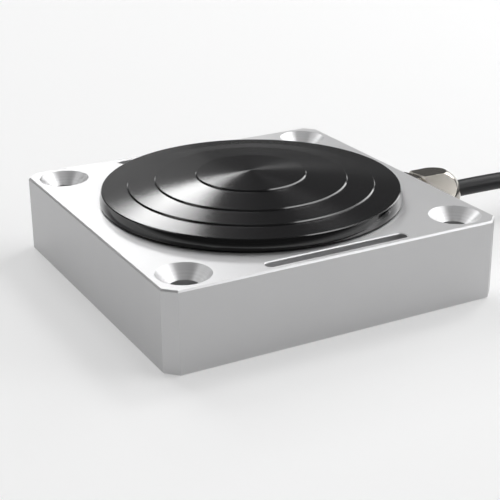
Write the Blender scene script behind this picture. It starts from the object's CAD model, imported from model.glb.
import bmesh
import bpy
import math
from mathutils import Matrix, Vector


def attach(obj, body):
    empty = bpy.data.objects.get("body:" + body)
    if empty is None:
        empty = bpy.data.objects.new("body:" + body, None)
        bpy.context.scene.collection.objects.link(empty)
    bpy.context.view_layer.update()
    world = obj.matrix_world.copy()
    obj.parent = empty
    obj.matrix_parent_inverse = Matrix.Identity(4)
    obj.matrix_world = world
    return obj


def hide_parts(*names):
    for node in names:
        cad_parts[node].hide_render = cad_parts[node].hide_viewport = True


# Pedal force sensor, dressed around its CAD frame. Metres, +Z up, the cable leaves towards +X.

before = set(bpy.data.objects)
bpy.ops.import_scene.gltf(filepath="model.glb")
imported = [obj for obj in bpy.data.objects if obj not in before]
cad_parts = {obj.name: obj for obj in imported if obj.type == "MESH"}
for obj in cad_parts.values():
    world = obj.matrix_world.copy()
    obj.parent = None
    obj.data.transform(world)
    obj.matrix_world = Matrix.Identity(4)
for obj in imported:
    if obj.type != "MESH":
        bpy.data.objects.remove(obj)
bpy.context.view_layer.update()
scene = bpy.context.scene
print("frame loaded,", len(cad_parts), "nodes")


# Camera at the photograph's own place

photoCamera = {
    "lens": 90.323,  # mm, on a 36 mm sensor
    "place": (-0.175745, -0.325688, 0.158428),
    "heading": 61.7242,  # degrees from +X
    "down": 22.3048,
    "roll": -0.4986,
    "nearest": 0.01,
}


def turned(degrees, axis):
    return Matrix.Rotation(math.radians(degrees), 4, axis)


def setCamera():
    data = bpy.data.cameras.new("photoCamera")
    data.lens = photoCamera["lens"]
    data.clip_start = photoCamera["nearest"]
    camera = bpy.data.objects.new("photoCamera", data)
    scene.collection.objects.link(camera)
    aim = turned(photoCamera["heading"] - 90, "Z") @ turned(90 - photoCamera["down"], "X")
    place = Matrix.Translation(photoCamera["place"])
    camera.matrix_world = place @ aim @ turned(photoCamera["roll"], "Z")
    scene.camera = camera


setCamera()
print("camera set")


# Small helpers for node materials

def addNode(tree, kind, **settings):
    node = tree.nodes.new(kind)
    for name, value in settings.items():
        if name in node.inputs:
            node.inputs[name].default_value = value
        else:
            setattr(node, name, value)
    return node


def newMaterial(name, **sockets):
    material = bpy.data.materials.new(name)
    material.use_nodes = True
    tree = material.node_tree
    shader = tree.nodes["Principled BSDF"]
    for socket, value in sockets.items():
        shader.inputs[socket.replace("_", " ")].default_value = value
    return material, tree, shader


def feed(tree, shader, **sources):
    for socket, source in sources.items():
        tree.links.new(source, shader.inputs[socket.replace("_", " ")])


def vectorMath(tree, operation, first, second=None):
    node = addNode(tree, "ShaderNodeVectorMath", operation=operation)
    tree.links.new(first, node.inputs[0])
    if isinstance(second, tuple):
        node.inputs[1].default_value = second
    elif second:
        tree.links.new(second, node.inputs[1])
    return node.outputs["Value" if operation == "LENGTH" else "Vector"]


def numberMath(tree, operation, first, second):
    node = addNode(tree, "ShaderNodeMath", operation=operation)
    tree.links.new(first, node.inputs[0])
    tree.links.new(second, node.inputs[1])
    return node.outputs["Value"]


def objectPlace(tree, stretch=(1, 1, 1)):
    place = addNode(tree, "ShaderNodeTexCoord").outputs["Object"]
    return vectorMath(tree, "MULTIPLY", place, stretch)


def noiseOf(tree, vector, scale, detail=3):
    noise = addNode(tree, "ShaderNodeTexNoise", Scale=scale, Detail=detail)
    tree.links.new(vector, noise.inputs["Vector"])
    return noise.outputs["Fac"]


def ringNoise(tree, radial, scale, detail):
    rings = addNode(tree, "ShaderNodeTexNoise", noise_dimensions="1D", Scale=scale, Detail=detail)
    tree.links.new(vectorMath(tree, "LENGTH", radial), rings.inputs["W"])
    return rings.outputs["Fac"]


def spread(tree, factor, low, high):
    span = addNode(tree, "ShaderNodeMapRange", **{"To Min": low, "To Max": high})
    tree.links.new(factor, span.inputs["Value"])
    return span.outputs["Result"]


def smoothRise(tree, value, fromRange, toRange):
    (start, end), (low, high) = fromRange, toRange
    rise = addNode(tree, "ShaderNodeMapRange", interpolation_type="SMOOTHSTEP",
                   **{"From Min": start, "From Max": end, "To Min": low, "To Max": high})
    tree.links.new(value, rise.inputs["Value"])
    return rise.outputs["Result"]


def tint(tree, factor, colour, shades):
    mix = addNode(tree, "ShaderNodeMix", data_type="RGBA")
    ends = [socket for socket in mix.inputs if socket.type == "RGBA"]
    for socket, amount in zip(ends, shades):
        socket.default_value = [channel * amount for channel in colour] + [1]
    tree.links.new(factor, mix.inputs["Factor"])
    return next(socket for socket in mix.outputs if socket.type == "RGBA")


def bumpOf(tree, height, strength, distance):
    bump = addNode(tree, "ShaderNodeBump", Strength=strength, Distance=distance)
    tree.links.new(height, bump.inputs["Height"])
    return bump.outputs["Normal"]


grainHabits = {
    "mottle": 12,  # how much broader the mottle is than the grain
    "roughSpread": 0.15,
    "bump": 0.4,
}


def grainy(name, colour, roughness, metallic=0, grain=900, depth=0.00002, unevenness=0.12):
    material, tree, shader = newMaterial(name, Metallic=metallic)
    place = objectPlace(tree)
    fine = noiseOf(tree, place, grain)
    broad = noiseOf(tree, place, grain / grainHabits["mottle"])
    low, high = 1 - grainHabits["roughSpread"], 1 + grainHabits["roughSpread"]
    feed(tree, shader,
         Base_Color=tint(tree, broad, colour, (1 - unevenness, 1 + unevenness)),
         Roughness=spread(tree, fine, roughness * low, roughness * high),
         Normal=bumpOf(tree, fine, grainHabits["bump"], depth))
    return material


# Cable: the seen run, then the rest of the lead in a tied coil

cable = {
    "diameter": 0.0058,
    "length": 1.9256,
    "run": [(0.0795, 0, 0.0132), (0.094, 0, 0.0132), (0.109, 0, 0.0125),
            (0.1265, 0, 0.0037), (0.142, 0, 0.0037)],
    "coilMiddle": (0.1645, -0.0417),
    "coilStart": 90,  # degrees from +X, where the run joins the coil
    "coilOuter": 0.0417,
    "coilInner": 0.0243,
    "coilLast": 0.03155,
    "turns": (3, 0.3, 3, 0.25, 1.75),  # inwards, up a layer, outwards, up a layer, inwards again
    "firstLayer": 0.0037,
    "pointsPerTurn": 16,
    "tail": [(0.03109, -48, 0.01669), (0.03132, -78, 0.01872), (0.03201, -108, 0.02058),
             (0.03248, -138, 0.0211), (0.033, -168, 0.0211)],  # reach, angle and height in the coil
    "smoothness": 8,
    "jacket": (0.009, 0.009, 0.0105),
    "shades": (0.8, 1.3),
    "gloss": 0.35,
    "roughness": (0.36, 0.48),
    "grain": 1400,
    "mottle": 60,
    "bump": (0.25, 0.00002),  # strength, depth
}


def coilPlace(reach, angle, height):
    middleX, middleY = cable["coilMiddle"]
    turn = math.radians(angle)
    return (middleX + reach * math.cos(turn), middleY + reach * math.sin(turn), height)


def windings():
    outer, inner, last = cable["coilOuter"], cable["coilInner"], cable["coilLast"]
    first, second, third = (cable["firstLayer"] + layer * cable["diameter"] for layer in range(3))
    reaches = [(outer, inner), (inner, inner), (inner, outer), (outer, outer), (outer, last)]
    heights = [(first, first), (first, second), (second, second), (second, third), (third, third)]
    return zip(cable["turns"], reaches, heights)


def coilPoints():
    share, begin = 1 / cable["pointsPerTurn"], cable["coilStart"]
    drawnOut = 1 / math.cos(math.pi * share)  # the spline runs a little inside its points
    points, done, turns = [coilPlace(cable["coilOuter"], begin, cable["firstLayer"])], 0, share
    for length, (reach, reachEnd), (height, heightEnd) in windings():
        while turns <= done + length:
            along = (turns - done) / length
            radius = (reach + (reachEnd - reach) * along) * drawnOut
            points.append(coilPlace(radius, begin - 360 * turns, height + (heightEnd - height) * along))
            turns += share
        done += length
    return points


def jacketMaterial():
    material, tree, shader = newMaterial("cableJacket", Specular_IOR_Level=cable["gloss"])
    place = objectPlace(tree)
    fine = noiseOf(tree, place, cable["grain"])
    broad = noiseOf(tree, place, cable["mottle"])
    feed(tree, shader,
         Base_Color=tint(tree, broad, cable["jacket"], cable["shades"]),
         Roughness=spread(tree, fine, *cable["roughness"]),
         Normal=bumpOf(tree, fine, *cable["bump"]))
    return material


def layCable():
    curve = bpy.data.curves.new("sensorCable", "CURVE")
    curve.dimensions = "3D"
    curve.bevel_depth = cable["diameter"] / 2
    curve.bevel_resolution = cable["smoothness"]
    curve.resolution_u = cable["smoothness"]
    curve.use_fill_caps = True
    route = cable["run"] + coilPoints() + [coilPlace(*point) for point in cable["tail"]]
    spline = curve.splines.new("NURBS")
    spline.points.add(len(route) - 1)
    for point, place in zip(spline.points, route):
        point.co = (*place, 1)
    spline.order_u = 3
    spline.use_endpoint_u = True
    piece = bpy.data.objects.new("sensorCable", curve)
    scene.collection.objects.link(piece)
    curve.materials.append(jacketMaterial())
    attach(piece, "root")
    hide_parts("cable_run", "cable_coil", "cable_tail")
    return piece


sensorCable = layCable()
print("cable laid")


# Shapes made by spinning, cutting and bevelling

making = {
    "over": 0.001,  # how far a cutter runs past the surface that it opens
    "weld": 1e-7,
    "tapSteps": 16,
    "edgeAngle": 25,  # degrees, edges sharper than this are rounded
    "edgeSegments": 2,
}


def spunShape(profile, steps, axis=(0, 0, 1), middle=(0, 0, 0)):
    shape = bmesh.new()
    along, start = Vector(axis), Vector(middle)
    across = Vector((0, 0, 1)) if along.x else Vector((1, 0, 0))
    verts = [shape.verts.new(start + across * radius + along * height) for radius, height in profile]
    edges = [shape.edges.new(pair) for pair in zip(verts, verts[1:])]
    bmesh.ops.spin(shape, geom=verts + edges, cent=start, axis=along, angle=math.tau,
                   steps=steps, use_merge=True)
    bmesh.ops.remove_doubles(shape, verts=shape.verts, dist=making["weld"])
    bmesh.ops.recalc_face_normals(shape, faces=shape.faces)
    return shape


def tapShapes(count, circle, radius, depth, low):
    shapes = []
    for at in range(count):
        turn = math.tau * (at + 0.5) / count
        middle = (circle * math.cos(turn), circle * math.sin(turn), low)
        profile = [(0, 0), (radius, 0), (radius, depth), (0, depth)]
        shapes.append(spunShape(profile, making["tapSteps"], middle=middle))
    return shapes


def breakEdges(shape, edges, width):
    bmesh.ops.bevel(shape, geom=edges, offset=width, offset_type="OFFSET",
                    affect="EDGES", segments=1, profile=0.5, material=-1)


def newPiece(name, shape, materials):
    mesh = bpy.data.meshes.new(name)
    shape.to_mesh(mesh)
    shape.free()
    for material in materials:
        mesh.materials.append(material)
    piece = bpy.data.objects.new(name, mesh)
    scene.collection.objects.link(piece)
    return piece


def applyModifiers(piece):
    bpy.context.view_layer.update()
    shown = piece.evaluated_get(bpy.context.evaluated_depsgraph_get())
    finished = bpy.data.meshes.new_from_object(shown)
    piece.modifiers.clear()
    old = piece.data
    piece.data = finished
    bpy.data.meshes.remove(old)


def cutBy(piece, operation, *shapes):
    for shape in shapes:
        tool = newPiece("cutter", shape, [])
        cut = piece.modifiers.new("cut", "BOOLEAN")
        cut.operation = operation
        cut.solver = "EXACT"
        cut.object = tool
        applyModifiers(piece)
        bpy.data.objects.remove(tool)


def mergeClose(piece, reach):
    shape = bmesh.new()
    shape.from_mesh(piece.data)
    bmesh.ops.remove_doubles(shape, verts=shape.verts, dist=reach)
    bmesh.ops.dissolve_degenerate(shape, edges=shape.edges, dist=reach / 2)
    shape.to_mesh(piece.data)
    shape.free()


def smoothByAngle(piece, degrees):
    for face in piece.data.polygons:
        face.use_smooth = True
    piece.data.set_sharp_from_angle(angle=math.radians(degrees))


def roundEdges(piece, width):
    rounded = piece.modifiers.new("roundEdges", "BEVEL")
    rounded.width = width
    rounded.segments = making["edgeSegments"]
    rounded.limit_method = "ANGLE"
    rounded.angle_limit = math.radians(making["edgeAngle"])
    rounded.harden_normals = True
    smoothByAngle(piece, making["edgeAngle"])
    applyModifiers(piece)


def dress(piece, slotName, *nodes):
    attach(piece, "root")
    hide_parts(*nodes)


# Block: satin aluminium, ground on top and below, with turned countersinks

block = {
    "side": 0.110,
    "height": 0.025,
    "cornerCut": 0.0036,
    "edgeBreak": 0.0005,
    "holeSpacing": 0.090,
    "hole": 0.0084,
    "sink": 0.0158,
    "holeSteps": 128,
    "slot": (0.0465, 0.0035, 0.003),  # length, width, depth
    "slotInset": 0.004,
    "slotBreak": 0.0003,
    "slotSteps": 46,  # twice an odd number, so no point lies where the two ends part
    "boreRadius": 0.041,
    "cavityRadius": 0.033,
    "recessRadius": 0.0432,
    "seatHeight": 0.0172,
    "recessDepth": 0.0032,
    "boreSteps": 160,
    "cableHeight": 0.0132,
    "glandRadius": 0.006,
    "glandDepth": 0.0085,
    "passageRadius": 0.0032,
    "glandSteps": 48,
    "elementTaps": (8, 0.0368, 0.0015, 0.0075),  # count, circle radius, hole radius, depth
    "coverTaps": (6, 0.03825, 0.0015, 0.006),
    "smoothAngle": 30,
    "sides": (0.55, 0.55, 0.555),
    "ground": (0.74, 0.74, 0.745),
    "stretch": (0.15, 1, 1),  # of the grain, which runs along X
    "grain": (5200, 4),  # scale, detail
    "mottle": (45, 2),
    "shades": (0.97, 1.03),
    "roughness": (0.42, 0.5),
    "bump": (0.15, 0.00001),  # strength, depth
    "turned": (0.74, 0.74, 0.745),
    "turnedLines": (2600, 4),
    "turnedShades": (0.9, 1.1),
    "turnedRoughness": (0.4, 0.5),
    "turnedBump": (0.05, 0.00002),
    "turnedStretch": 0.6,  # of the highlight, across the lines
    "sinkMargin": 0.0002,
    "levelAbove": 0.9,  # upward part of a normal, for a level face and for a broken edge
    "brokenAbove": 0.5,
}


def satinMaterial(name, colour):
    material, tree, shader = newMaterial(name, Metallic=1)
    fine = noiseOf(tree, objectPlace(tree, block["stretch"]), *block["grain"])
    broad = noiseOf(tree, objectPlace(tree), *block["mottle"])
    feed(tree, shader,
         Base_Color=tint(tree, broad, colour, block["shades"]),
         Roughness=spread(tree, fine, *block["roughness"]),
         Normal=bumpOf(tree, fine, *block["bump"]))
    return material


def holeRadial(tree):
    # the vector from the axis of the nearest fixing hole
    place = addNode(tree, "ShaderNodeTexCoord").outputs["Object"]
    half = block["holeSpacing"] / 2
    off = vectorMath(tree, "SUBTRACT", vectorMath(tree, "ABSOLUTE", place), (half, half, 0))
    radial = vectorMath(tree, "MULTIPLY", off, vectorMath(tree, "SIGN", place))
    return vectorMath(tree, "MULTIPLY", radial, (1, 1, 0))


def turnedMaterial():
    material, tree, shader = newMaterial("turnedAluminium", Metallic=1,
                                         Anisotropic=block["turnedStretch"])
    radial = holeRadial(tree)
    rings = ringNoise(tree, radial, *block["turnedLines"])
    feed(tree, shader,
         Base_Color=tint(tree, rings, block["turned"], block["turnedShades"]),
         Roughness=spread(tree, rings, *block["turnedRoughness"]),
         Normal=bumpOf(tree, rings, *block["turnedBump"]),
         Tangent=radial)
    return material


def riseOf(edge):
    return abs(edge.verts[0].co.z - edge.verts[1].co.z)


def blockBlank():
    side, height = block["side"], block["height"]
    shape = bmesh.new()
    bmesh.ops.create_cube(shape, size=1)
    bmesh.ops.scale(shape, vec=(side, side, height), verts=shape.verts)
    bmesh.ops.translate(shape, vec=(0, 0, height / 2), verts=shape.verts)
    breakEdges(shape, [edge for edge in shape.edges if riseOf(edge) > height / 2], block["cornerCut"])
    breakEdges(shape, [edge for edge in shape.edges if riseOf(edge) < height / 2], block["edgeBreak"])
    return shape


def slotShape(y):
    length, width, depth = block["slot"]
    lip, top, end = block["slotBreak"], block["height"], width / 2
    profile = [(0, top - depth), (end, top - depth), (end, top - lip),
               (end + 2 * lip, top + lip), (0, top + lip)]
    shape = spunShape(profile, block["slotSteps"], middle=(0, y, 0))
    for side in (-1, 1):  # a round pocket, drawn out along X
        half = [vert for vert in shape.verts if vert.co.x * side > 0]
        bmesh.ops.translate(shape, vec=(side * (length - width) / 2, 0, 0), verts=half)
    return shape


def fixingHoleShapes():
    half, top, over = block["holeSpacing"] / 2, block["height"], making["over"]
    wall, lip = block["hole"] / 2, block["sink"] / 2
    profile = [(0, -over), (wall, -over), (wall, top - lip + wall),
               (lip + over, top + over), (0, top + over)]
    places = [(x, y, 0) for x in (-half, half) for y in (-half, half)]
    return [spunShape(profile, block["holeSteps"], middle=place) for place in places]


def boreShape():
    top, over = block["height"], making["over"]
    recess, cavity, bore = block["recessRadius"], block["cavityRadius"], block["boreRadius"]
    low, seat = block["recessDepth"], block["seatHeight"]
    profile = [(0, -over), (recess, -over), (recess, low), (cavity, low), (cavity, seat),
               (bore, seat), (bore, top + over), (0, top + over)]
    return spunShape(profile, block["boreSteps"])


def glandHoleShape():
    over, reach, depth = making["over"], block["side"] / 2, block["glandDepth"]
    wide, narrow = block["glandRadius"], block["passageRadius"]
    profile = [(0, over), (wide, over), (wide, -depth), (narrow, -depth), (narrow, -reach), (0, -reach)]
    middle = (reach, 0, block["cableHeight"])
    return spunShape(profile, block["glandSteps"], axis=(1, 0, 0), middle=middle)


def paintBlock(piece):
    half, reach = block["holeSpacing"] / 2, block["sink"] / 2 + block["sinkMargin"]
    for face in piece.data.polygons:
        x, y, z = face.center
        level = abs(face.normal.z)
        inHole = math.hypot(abs(x) - half, abs(y) - half) < reach
        outside = min(z, block["height"] - z) < block["edgeBreak"]
        if inHole and level < block["levelAbove"]:
            face.material_index = 1
        else:
            face.material_index = 2 if outside and level > block["brokenAbove"] else 0


def makeBlock():
    finishes = [satinMaterial("satinAluminium", block["sides"]), turnedMaterial(),
                satinMaterial("groundAluminium", block["ground"])]
    piece = newPiece("sensorBlock", blockBlank(), finishes)
    slotPlace = block["side"] / 2 - block["slotInset"]
    tapDepth = block["elementTaps"][-1]
    cutBy(piece, "DIFFERENCE", boreShape(), glandHoleShape())
    cutBy(piece, "DIFFERENCE", slotShape(-slotPlace), slotShape(slotPlace))
    cutBy(piece, "DIFFERENCE", *fixingHoleShapes())
    cutBy(piece, "DIFFERENCE", *tapShapes(*block["elementTaps"], block["seatHeight"] - tapDepth))
    cutBy(piece, "DIFFERENCE", *tapShapes(*block["coverTaps"], block["recessDepth"]))
    paintBlock(piece)
    smoothByAngle(piece, block["smoothAngle"])
    dress(piece, "satin_aluminium", "sensor_body")


makeBlock()
print("block made")


# Load disc: black, turned in low terraces up to a blunt point

disc = {
    "foot": 0.0944,
    "rim": 0.0932,
    "low": 0.0255,
    "rimHeight": 0.029,
    "rimBreak": 0.00025,
    "base": 0.0008,  # height of the upright foot, under a wall that leans in more and more
    "wallSteps": 6,
    "firstLean": 0.8,  # share of an even lean with which the wall starts
    "steps": [(0.0771, 0.0006), (0.0601, 0.00085), (0.0346, 0.00095)],  # diameter, rise up to its foot
    "riser": 0.0005,
    "stepBreak": 0.00035,
    "crown": 0.0006,
    "tip": 0.0004,  # radius of the blunt point
    "register": (0.00705, 0.00155),  # radius, depth
    "taps": (4, 0.0115, 0.002, 0.0058),  # count, circle radius, hole radius, depth
    "spinSteps": 256,
    "edgeRound": 0.00005,
    "black": (0.0042, 0.0042, 0.0048),
    "topLines": (5000, 4),  # scale, detail
    "topShades": (0.7, 1.3),
    "topRoughness": (0.17, 0.21),
    "topStretch": 0.88,
    "topGloss": 0.8,
    "topAbove": 0.95,  # upward part of a terrace's normal
    "polishStretch": (1, 1, 6),
    "polishGrain": 900,
    "polishShades": (0.7, 1.1),
    "polishSpread": 0.2,
    "polishedStep": (1.8, 0.14),  # bending of light, roughness
    "polishedWall": (1.6, 0.09),
}


def discTopMaterial():
    material, tree, shader = newMaterial("turnedBlack", Anisotropic=disc["topStretch"],
                                         Specular_IOR_Level=disc["topGloss"])
    radial = objectPlace(tree, (1, 1, 0))
    rings = ringNoise(tree, radial, *disc["topLines"])
    feed(tree, shader,
         Base_Color=tint(tree, rings, disc["black"], disc["topShades"]),
         Roughness=spread(tree, rings, *disc["topRoughness"]),
         Tangent=radial)
    return material


def polishedMaterial(name):
    bending, roughness = disc[name]
    material, tree, shader = newMaterial(name, IOR=bending)
    fine = noiseOf(tree, objectPlace(tree, disc["polishStretch"]), disc["polishGrain"])
    low, high = 1 - disc["polishSpread"], 1 + disc["polishSpread"]
    feed(tree, shader,
         Base_Color=tint(tree, fine, disc["black"], disc["polishShades"]),
         Roughness=spread(tree, fine, roughness * low, roughness * high))
    return material


def discProfile():
    low, height = disc["low"], disc["rimHeight"]
    foot, rim = disc["foot"] / 2, disc["rim"] / 2
    registerRadius, registerDepth = disc["register"]
    profile = [(0, low + registerDepth), (registerRadius, low + registerDepth),
               (registerRadius, low), (foot, low)]
    tall = height - disc["rimBreak"] - low - disc["base"]
    for step in range(disc["wallSteps"] + 1):
        share = step / disc["wallSteps"]
        lean = (foot - rim) * share * (disc["firstLean"] + (1 - disc["firstLean"]) * share)
        profile.append((foot - lean, low + disc["base"] + tall * share))
    profile.append((rim - disc["rimBreak"], height))
    for diameter, rise in disc["steps"]:
        radius, terrace = diameter / 2, height + rise
        height = terrace + disc["riser"]
        profile.append((radius, terrace))
        profile.append((radius, height - disc["stepBreak"]))
        profile.append((radius - disc["stepBreak"], height))
    crownRadius, tip = profile[-1][0], disc["tip"]
    profile.append((tip, height + disc["crown"] * (1 - tip / crownRadius)))
    profile.append((0, height + disc["crown"]))
    return profile


def paintDisc(piece):
    for face in piece.data.polygons:
        if face.center.z <= disc["rimHeight"] - disc["rimBreak"]:
            face.material_index = 2
        else:
            face.material_index = 0 if face.normal.z > disc["topAbove"] else 1


def makeDisc():
    finishes = [discTopMaterial(), polishedMaterial("polishedStep"), polishedMaterial("polishedWall")]
    piece = newPiece("loadDisc", spunShape(discProfile(), disc["spinSteps"]), finishes)
    cutBy(piece, "DIFFERENCE", *tapShapes(*disc["taps"], disc["low"] - making["over"]))
    roundEdges(piece, disc["edgeRound"])
    paintDisc(piece)
    dress(piece, "black_anodised", "load_disc")


makeDisc()
print("disc made")


# Gland: nickel-plated nut and body on a rubber washer; lengths run outwards from the block's face

gland = {
    "axisHeight": 0.0132,
    "face": 0.055,
    "key": 0.016,
    "turn": 26.5,  # degrees from the top to the nearest corner, towards -Y
    "washer": 0.0015,
    "baseEnd": 0.0078,
    "thread": 0.012,
    "threadLong": 0.0095,
    "collarEnd": 0.0168,
    "collarGap": 0.0002,
    "bore": 0.0074,
    "boreStart": -0.02,
    "sealSeat": (0.0096, 0.0055),  # diameter, depth
    "nutStart": 0.0086,
    "nutHexEnd": 0.0158,
    "mouthEnd": 0.0245,
    "mouth": 0.0062,
    "coneLong": 0.0055,
    "domeRadius": 0.011,
    "domeEnd": 0.0072,
    "domeSteps": 14,
    "lipShare": 0.985,  # of the flats, where a hexagon's end face stops
    "chamfer": 0.55,  # share of the corner's height over that face
    "spinSteps": 96,
    "merge": 0.00003,  # corners nearer than this become one before the edges are rounded
    "edgeRound": 0.00018,
    "nickel": {"colour": (0.6, 0.57, 0.52), "roughness": 0.2, "metallic": 1,
               "grain": 700, "unevenness": 0.06},
}


def glandShape(profile):
    middle = (gland["face"], 0, gland["axisHeight"])
    return spunShape(profile, gland["spinSteps"], axis=(1, 0, 0), middle=middle)


def hexagonSizes():
    corner, lip = gland["key"] / math.sqrt(3), gland["key"] / 2 * gland["lipShare"]
    return corner, lip, (corner - lip) * gland["chamfer"]


def hexagonShape(start, end):
    corner, long = gland["key"] / math.sqrt(3), end - start
    shape = bmesh.new()
    bmesh.ops.create_cone(shape, cap_ends=True, segments=6, radius1=corner, radius2=corner, depth=long)
    # flats face +X and -X, 30 degrees from the corners, and the second turn brings -X to the top
    bmesh.ops.rotate(shape, cent=(0, 0, 0), matrix=turned(gland["turn"] - 30, "Z"), verts=shape.verts)
    bmesh.ops.rotate(shape, cent=(0, 0, 0), matrix=turned(90, "Y"), verts=shape.verts)
    place = (gland["face"] + start + long / 2, 0, gland["axisHeight"])
    bmesh.ops.translate(shape, vec=place, verts=shape.verts)
    return shape


def domeCurve():
    # an arc of the dome's radius, from the hexagon's corner to the mouth
    first = Vector((gland["key"] / math.sqrt(3), gland["nutHexEnd"]))
    last = Vector((gland["domeEnd"] / 2, gland["mouthEnd"]))
    half = (last - first) / 2
    outward = Vector((half.y, -half.x)).normalized()
    centre = first + half - outward * math.sqrt(gland["domeRadius"] ** 2 - half.length ** 2)
    startAngle = math.atan2(first.y - centre.y, first.x - centre.x)
    endAngle = math.atan2(last.y - centre.y, last.x - centre.x)
    places = []
    for step in range(gland["domeSteps"] + 1):
        angle = startAngle + (endAngle - startAngle) * step / gland["domeSteps"]
        places.append((centre.x + gland["domeRadius"] * math.cos(angle),
                       centre.y + gland["domeRadius"] * math.sin(angle)))
    return places


def finishGland(piece, node):
    mergeClose(piece, gland["merge"])
    roundEdges(piece, gland["edgeRound"])
    dress(piece, "nickel_brass", node)
    return piece


def makeNut(material):
    corner, lip, slope = hexagonSizes()
    start, end, over = gland["nutStart"], gland["mouthEnd"], making["over"]
    piece = newPiece("glandNut", hexagonShape(start, end), [material])
    around = [(0, start), (lip, start), (corner, start + slope)] + domeCurve() + [(0, end)]
    cutBy(piece, "INTERSECT", glandShape(around))
    thread, mouth = gland["thread"] / 2, gland["mouth"] / 2
    coneStart = gland["collarEnd"] + gland["collarGap"]
    hollow = [(0, start - over), (thread, start - over), (thread, coneStart),
              (mouth, coneStart + gland["coneLong"]), (mouth, end + over), (0, end + over)]
    cutBy(piece, "DIFFERENCE", glandShape(hollow))
    return finishGland(piece, "gland_nut")


def makeGlandBody(material):
    corner, lip, slope = hexagonSizes()
    start, end, collar, over = gland["washer"], gland["baseEnd"], gland["collarEnd"], making["over"]
    piece = newPiece("glandBody", hexagonShape(start, end), [material])
    around = [(0, start), (lip, start), (corner, start + slope),
              (corner, end - slope), (lip, end), (0, end)]
    cutBy(piece, "INTERSECT", glandShape(around))
    thread, threadStart = gland["thread"] / 2, start - gland["threadLong"]
    spigot = [(0, threadStart), (thread, threadStart), (thread, collar), (0, collar)]
    cutBy(piece, "UNION", glandShape(spigot))
    seatDiameter, seatDepth = gland["sealSeat"]
    bore, boreStart, seat = gland["bore"] / 2, gland["boreStart"], seatDiameter / 2
    hollow = [(0, boreStart), (bore, boreStart), (bore, collar - seatDepth), (seat, collar - seatDepth),
              (seat, collar + over), (0, collar + over)]
    cutBy(piece, "DIFFERENCE", glandShape(hollow))
    return finishGland(piece, "gland_body")


nickel = grainy("nickelBrass", **gland["nickel"])
glandNut = makeNut(nickel)
glandBody = makeGlandBody(nickel)
print("gland made")


# Finishes for the pieces that keep their CAD shape

nodeFinishes = {  # colour, roughness, metallic, nodes
    "elementSteel": ((0.42, 0.42, 0.43), 0.34, 1, ["spoke_element"]),
    "blackSteel": ((0.03, 0.03, 0.032), 0.42, 0.6, ["element_screws", "disc_screws"]),
    "stainless": ((0.55, 0.55, 0.56), 0.3, 1, ["cover_screws", "board_screws"]),
    "gasketRubber": ((0.02, 0.02, 0.021), 0.6, 0, ["cover_gasket", "gland_washer", "gland_seal"]),
    "coverAluminium": ((0.6, 0.6, 0.605), 0.36, 1, ["bottom_cover"]),
    "gaugeFoil": ((0.72, 0.45, 0.16), 0.4, 0, ["strain_gauges"]),
    "standoffBrass": ((0.6, 0.57, 0.52), 0.26, 1, ["board_standoffs"]),
    "boardLaminate": ((0.02, 0.13, 0.06), 0.4, 0, ["terminal_board"]),
    "resistorCeramic": ((0.04, 0.04, 0.045), 0.45, 0, ["trim_resistors"]),
    "enamelledCopper": ((0.45, 0.14, 0.05), 0.3, 0.8, ["gauge_wires"]),
    "tinnedCopper": ((0.6, 0.58, 0.55), 0.35, 1, ["lead_tips"]),
    "coreRed": ((0.45, 0.02, 0.02), 0.42, 0, ["lead_red", "inner_lead_red"]),
    "coreBlack": ((0.015, 0.015, 0.016), 0.42, 0, ["lead_black", "inner_lead_black"]),
    "coreGreen": ((0.02, 0.25, 0.06), 0.42, 0, ["lead_green", "inner_lead_green"]),
    "coreWhite": ((0.75, 0.75, 0.72), 0.42, 0, ["lead_white", "inner_lead_white"]),
}
tieFabric = {"colour": (0.02, 0.02, 0.022), "roughness": 0.85, "grain": 1600, "depth": 0.0002}


def wear(material, *nodes):
    for name in nodes:
        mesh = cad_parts[name].data
        mesh.materials.clear()
        mesh.materials.append(material)


def dressNodes():
    for name, (colour, roughness, metallic, nodes) in nodeFinishes.items():
        wear(grainy(name, colour, roughness, metallic), *nodes)
    wear(grainy("tieFabric", **tieFabric), "cable_tie")
    wear(sensorCable.data.materials[0], "cable_inlet")


dressNodes()
print("CAD pieces dressed")


# Floor, lights and world

studio = {
    "floorSize": 8,
    "floorColour": (0.6, 0.6, 0.6),
    "floorGlow": (0.36, 0.82),  # near and far
    "glowRise": (0.6, 1.9),  # distances between which it rises
    "worldGlow": (0.82, 0.09),  # at the horizon and above the pale band
    "paleBand": (0, 0.06),  # as the rise of a direction of length 1
    "aim": (0, 0, 0.02),
    "boxes": {  # heading from +X, height angle, distance, width, height, spin, watts
        "backKey": (68.8, 26.2, 6, 0.6, 0.6, 0, 15),
        "backLeft": (92, 38, 2.6, 1.2, 1.2, 0, 16.8),
        "backTop": (85, 60, 2.6, 1.2, 1.2, 0, 6.8),
        "backRight": (28, 52, 2.6, 0.6, 0.6, 0, 11),
        "keySkirt": (71, 15.5, 6, 1.2, 1.2, 0, 1.1),
        "rightPanel": (0.8, 39.9, 1.26, 2.15, 0.35, -45, 7.8),
        "rightLow": (-32, 20, 1.3, 0.75, 0.45, 0, 5),
        "leftTop": (160, 33, 1.3, 0.7, 0.9, 0, 1.6),
        "overhead": (62, 85, 2.6, 1.2, 1.2, 0, 6.4),
    },
}


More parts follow.
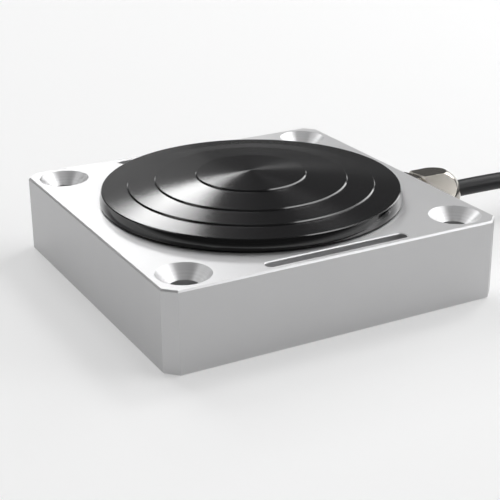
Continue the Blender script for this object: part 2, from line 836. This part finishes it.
def showsPale(tree):
    # 1 where the eye, a mirror or a glass looks at the surface
    light = addNode(tree, "ShaderNodeLightPath").outputs
    either = numberMath(tree, "MAXIMUM", light["Is Camera Ray"], light["Is Glossy Ray"])
    return numberMath(tree, "MAXIMUM", either, light["Is Transmission Ray"])


def setFloor():
    shape = bmesh.new()
    bmesh.ops.create_grid(shape, x_segments=2, y_segments=2, size=studio["floorSize"] / 2)
    material, tree, shader = newMaterial("paleFloor", Roughness=1, Specular_IOR_Level=0,
                                         Base_Color=(*studio["floorColour"], 1),
                                         Emission_Color=(1, 1, 1, 1))
    away = vectorMath(tree, "LENGTH", objectPlace(tree))
    glow = smoothRise(tree, away, studio["glowRise"], studio["floorGlow"])
    feed(tree, shader, Emission_Strength=numberMath(tree, "MULTIPLY", showsPale(tree), glow))
    floor = newPiece("floor", shape, [material])


def setLights():
    for name, (heading, height, distance, wide, high, spin, watts) in studio["boxes"].items():
        data = bpy.data.lights.new(name, "AREA")
        data.shape = "RECTANGLE"
        data.size, data.size_y = wide, high
        data.energy = watts
        lamp = bpy.data.objects.new(name, data)
        scene.collection.objects.link(lamp)
        turn, up = math.radians(heading), math.radians(height)
        away = Vector((math.cos(turn) * math.cos(up), math.sin(turn) * math.cos(up), math.sin(up)))
        lamp.location = Vector(studio["aim"]) + away * distance
        lamp.rotation_mode = "QUATERNION"
        lamp.rotation_quaternion = away.to_track_quat("Z", "Y") @ turned(spin, "Z").to_quaternion()


def setWorld():
    world = bpy.data.worlds.new("studioWorld")
    world.use_nodes = True
    tree = world.node_tree
    shader = tree.nodes["Background"]
    shader.inputs["Color"].default_value = (1, 1, 1, 1)
    direction = addNode(tree, "ShaderNodeSeparateXYZ")
    tree.links.new(addNode(tree, "ShaderNodeTexCoord").outputs["Generated"], direction.inputs[0])
    glow = smoothRise(tree, direction.outputs["Z"], studio["paleBand"], studio["worldGlow"])
    feed(tree, shader, Strength=glow)
    scene.world = world


setFloor()
setLights()
setWorld()
scene.view_settings.view_transform = "Standard"
print("studio set")
